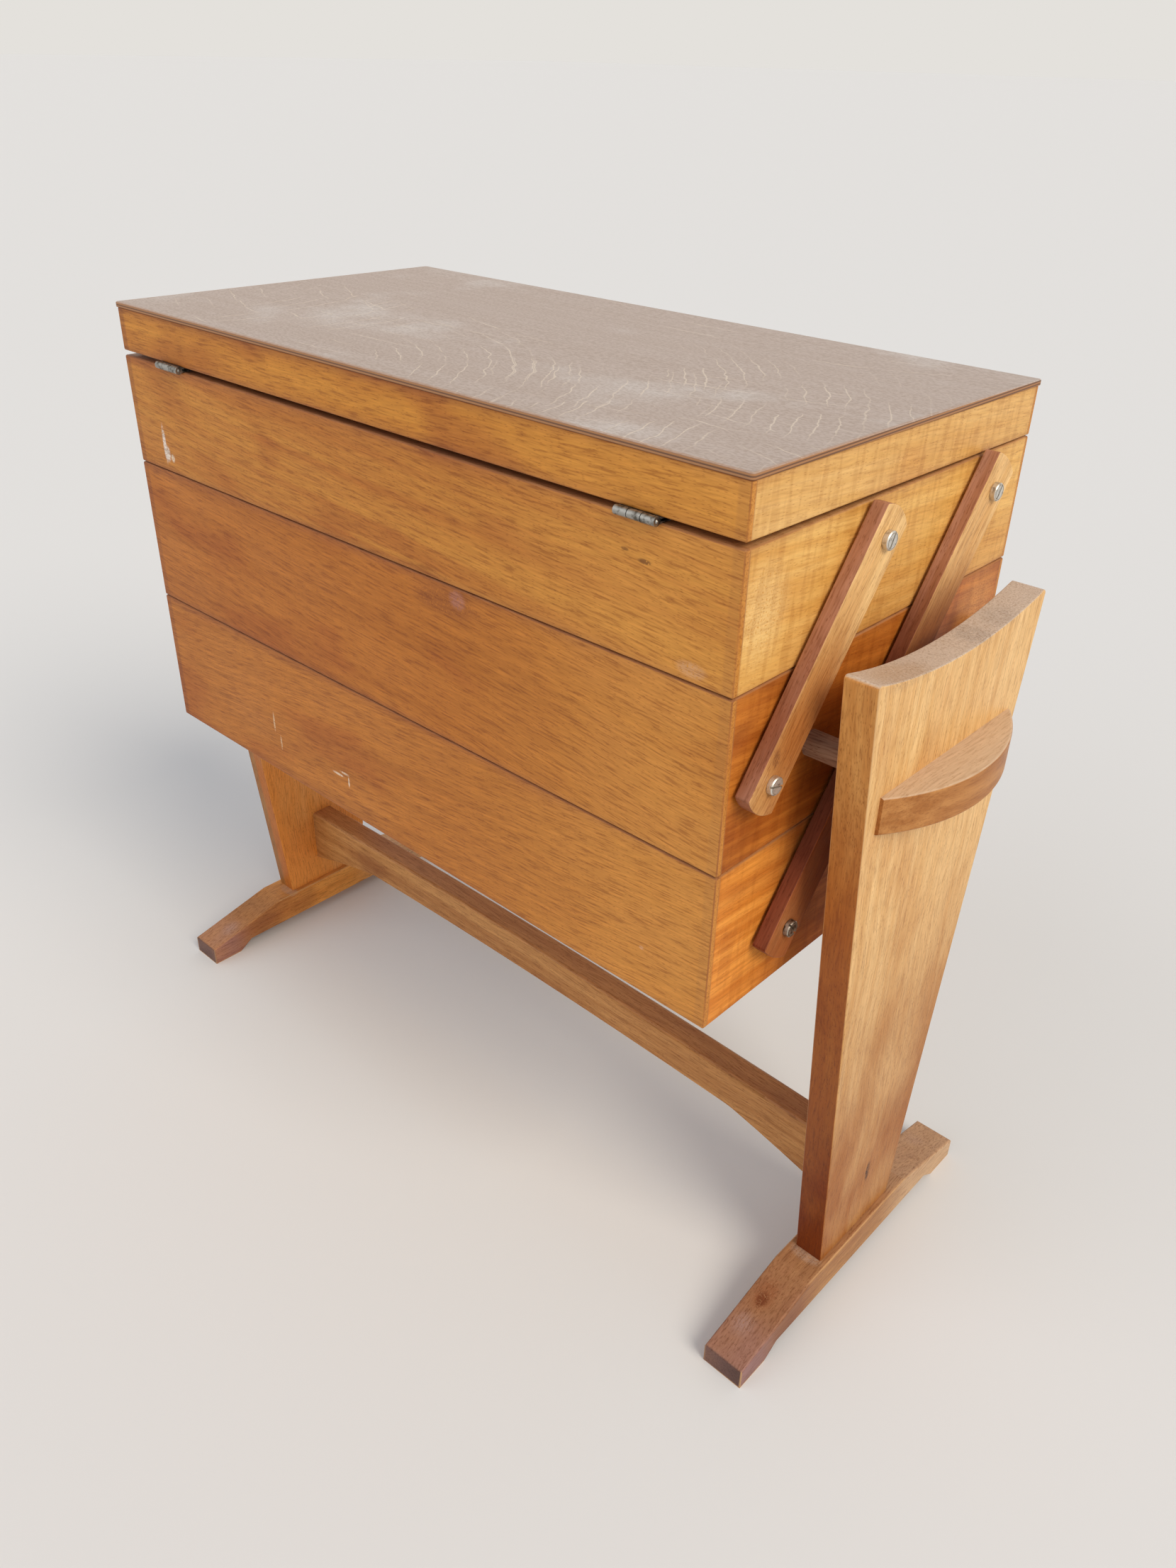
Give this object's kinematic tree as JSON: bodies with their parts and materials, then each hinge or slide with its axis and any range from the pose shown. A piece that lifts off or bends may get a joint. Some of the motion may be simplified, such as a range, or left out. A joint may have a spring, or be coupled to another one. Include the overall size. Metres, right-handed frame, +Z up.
{
  "type": "cantilever sewing box on a stand",
  "caption": "Wooden sewing box whose trays swing apart on parallel arms, with a hinged lid, standing between two end panels on feet.",
  "frame": {"origin": "on the floor, under the middle of the box", "axes": "+X along the box's long side, +Y away from the lid's hinges, +Z up"},
  "size_m": [0.637, 0.262, 0.5525],
  "materials": {
    "side_board": "satin honey beech",
    "end_board": "satin honey beech, brighter",
    "lid_ply": "worn matte plywood",
    "tray_ply": "plain plywood",
    "arm_wood": "satin beech",
    "stand_wood": "satin honey beech",
    "dowel_wood": "unpolished beech",
    "screw_steel": "dull nickel",
    "hinge_steel": "dull steel"
  },
  "bodies": {
    "stand": {"end_panel_a": "stand_wood", "end_panel_b": "stand_wood", "foot_a": "stand_wood", "foot_b": "stand_wood", "grip_a": "stand_wood", "grip_b": "stand_wood", "stretcher": "stand_wood", "grip_screws": "screw_steel", "support_dowels": "dowel_wood", "middle_tray_back": "side_board", "middle_tray_front": "side_board", "middle_tray_end_a": "end_board", "middle_tray_end_b": "end_board", "middle_tray_base": "tray_ply", "pivot_screws_middle": "screw_steel", "washers_middle": "screw_steel"},
    "top_tray": {"top_tray_back": "side_board", "top_tray_front": "side_board", "top_tray_end_a": "end_board", "top_tray_end_b": "end_board", "top_tray_base": "tray_ply", "pivot_screws_top": "screw_steel", "washers_top": "screw_steel", "hinge_tray_leaf_a": "hinge_steel", "hinge_tray_leaf_b": "hinge_steel", "hinge_pin_a": "hinge_steel", "hinge_pin_b": "hinge_steel", "hinge_screws_tray": "screw_steel"},
    "low_tray": {"low_tray_back": "side_board", "low_tray_front": "side_board", "low_tray_end_a": "end_board", "low_tray_end_b": "end_board", "low_tray_base": "tray_ply", "pivot_screws_low": "screw_steel", "washers_low": "screw_steel"},
    "lid": {"lid_back": "side_board", "lid_front": "side_board", "lid_end_a": "end_board", "lid_end_b": "end_board", "lid_panel": "lid_ply", "hinge_lid_leaf_a": "hinge_steel", "hinge_lid_leaf_b": "hinge_steel", "hinge_screws_lid": "screw_steel"},
    "arm_long_a": {"arm_long_a": "arm_wood"},
    "arm_top_a": {"arm_top_a": "arm_wood"},
    "arm_low_a": {"arm_low_a": "arm_wood"},
    "arm_long_b": {"arm_long_b": "arm_wood"},
    "arm_top_b": {"arm_top_b": "arm_wood"},
    "arm_low_b": {"arm_low_b": "arm_wood"}
  },
  "joints": [
    {"name": "long_arm_a", "type": "hinge", "parent": "stand", "child": "arm_long_a", "pos_m": [0.2562, 0, 0.4025], "axis": [1, 0, 0], "range_deg": [0, 72.4]},
    {"name": "long_arm_b", "type": "hinge", "parent": "stand", "child": "arm_long_b", "pos_m": [-0.2562, 0, 0.4025], "axis": [1, 0, 0], "range_deg": [0, 72.4]},
    {"name": "top_arm_a", "type": "hinge", "parent": "stand", "child": "arm_top_a", "pos_m": [0.2562, -0.105, 0.4025], "axis": [1, 0, 0], "range_deg": [0, 72.4]},
    {"name": "low_arm_a", "type": "hinge", "parent": "stand", "child": "arm_low_a", "pos_m": [0.2562, 0.105, 0.4025], "axis": [1, 0, 0], "range_deg": [0, 72.4]},
    {"name": "top_arm_b", "type": "hinge", "parent": "stand", "child": "arm_top_b", "pos_m": [-0.2562, -0.105, 0.4025], "axis": [1, 0, 0], "range_deg": [0, 72.4]},
    {"name": "low_arm_b", "type": "hinge", "parent": "stand", "child": "arm_low_b", "pos_m": [-0.2562, 0.105, 0.4025], "axis": [1, 0, 0], "range_deg": [0, 72.4]},
    {"name": "top_tray_pivot", "type": "hinge", "parent": "arm_long_a", "child": "top_tray", "pos_m": [0.2562, 0.074, 0.5035], "axis": [1, 0, 0], "range_deg": [-72.4, 0]},
    {"name": "low_tray_pivot", "type": "hinge", "parent": "arm_long_a", "child": "low_tray", "pos_m": [0.2562, -0.074, 0.3015], "axis": [1, 0, 0], "range_deg": [-72.4, 0]},
    {"name": "lid_hinge", "type": "hinge", "parent": "top_tray", "child": "lid", "pos_m": [0, -0.1306, 0.5215], "axis": [1, 0, 0], "range_deg": [0, 178]}
  ],
  "couplings": [
    {"joint": "long_arm_b", "follows": "long_arm_a", "ratio": 1},
    {"joint": "top_arm_a", "follows": "long_arm_a", "ratio": 1},
    {"joint": "low_arm_a", "follows": "long_arm_a", "ratio": 1},
    {"joint": "top_arm_b", "follows": "long_arm_a", "ratio": 1},
    {"joint": "low_arm_b", "follows": "long_arm_a", "ratio": 1},
    {"joint": "top_tray_pivot", "follows": "long_arm_a", "ratio": -1},
    {"joint": "low_tray_pivot", "follows": "long_arm_a", "ratio": -1}
  ]
}
